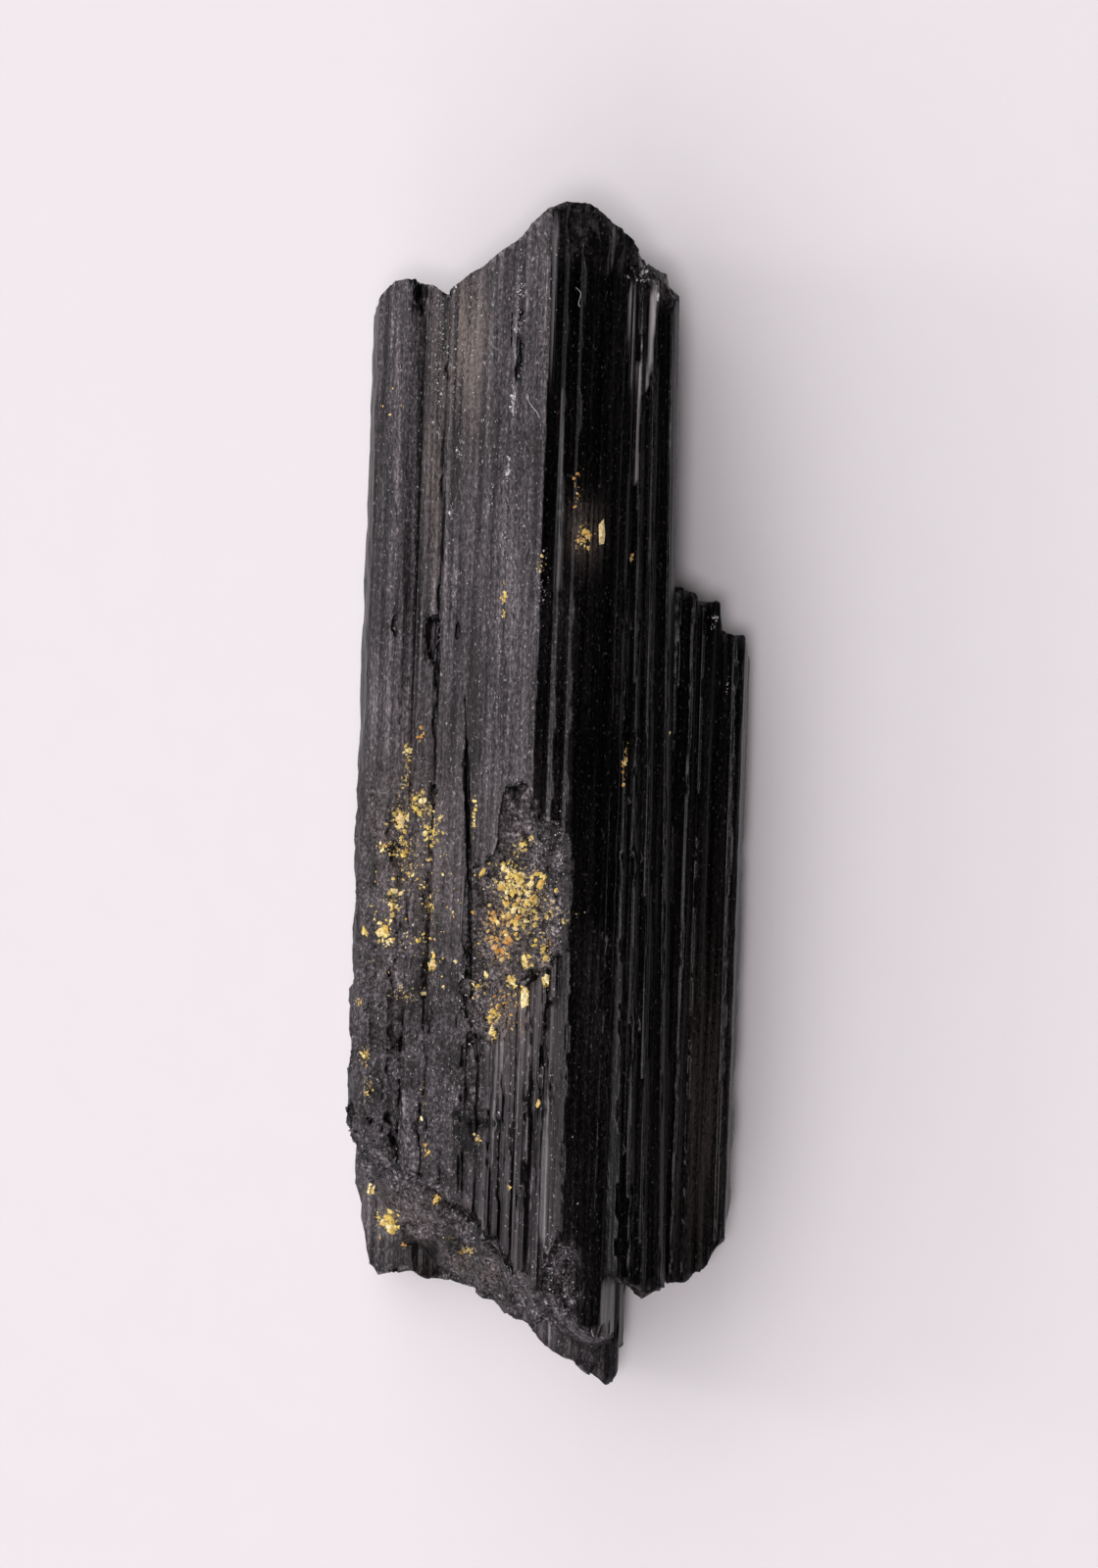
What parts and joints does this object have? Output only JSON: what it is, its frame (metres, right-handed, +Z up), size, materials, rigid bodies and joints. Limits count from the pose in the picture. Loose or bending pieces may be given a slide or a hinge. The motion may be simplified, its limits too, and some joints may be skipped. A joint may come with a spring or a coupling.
{
  "type": "tourmaline crystal",
  "caption": "Black striated tourmaline crystal: parallel prisms grown together, broken at both ends, with a rough scar and yellow specks, lying on a prism face.",
  "frame": {"origin": "centre of the bounding box, on the surface that the crystal lies on", "axes": "+Y along the prisms towards the pointed upper end, +X towards the short right-hand prism, +Z up"},
  "size_m": [0.025, 0.0752, 0.018],
  "materials": {
    "tourmaline": "striated, satin to glossy",
    "mineral_grains": "matt, crumbly"
  },
  "bodies": {
    "root": {"tourmaline_crystal": "tourmaline"}
  },
  "joints": []
}
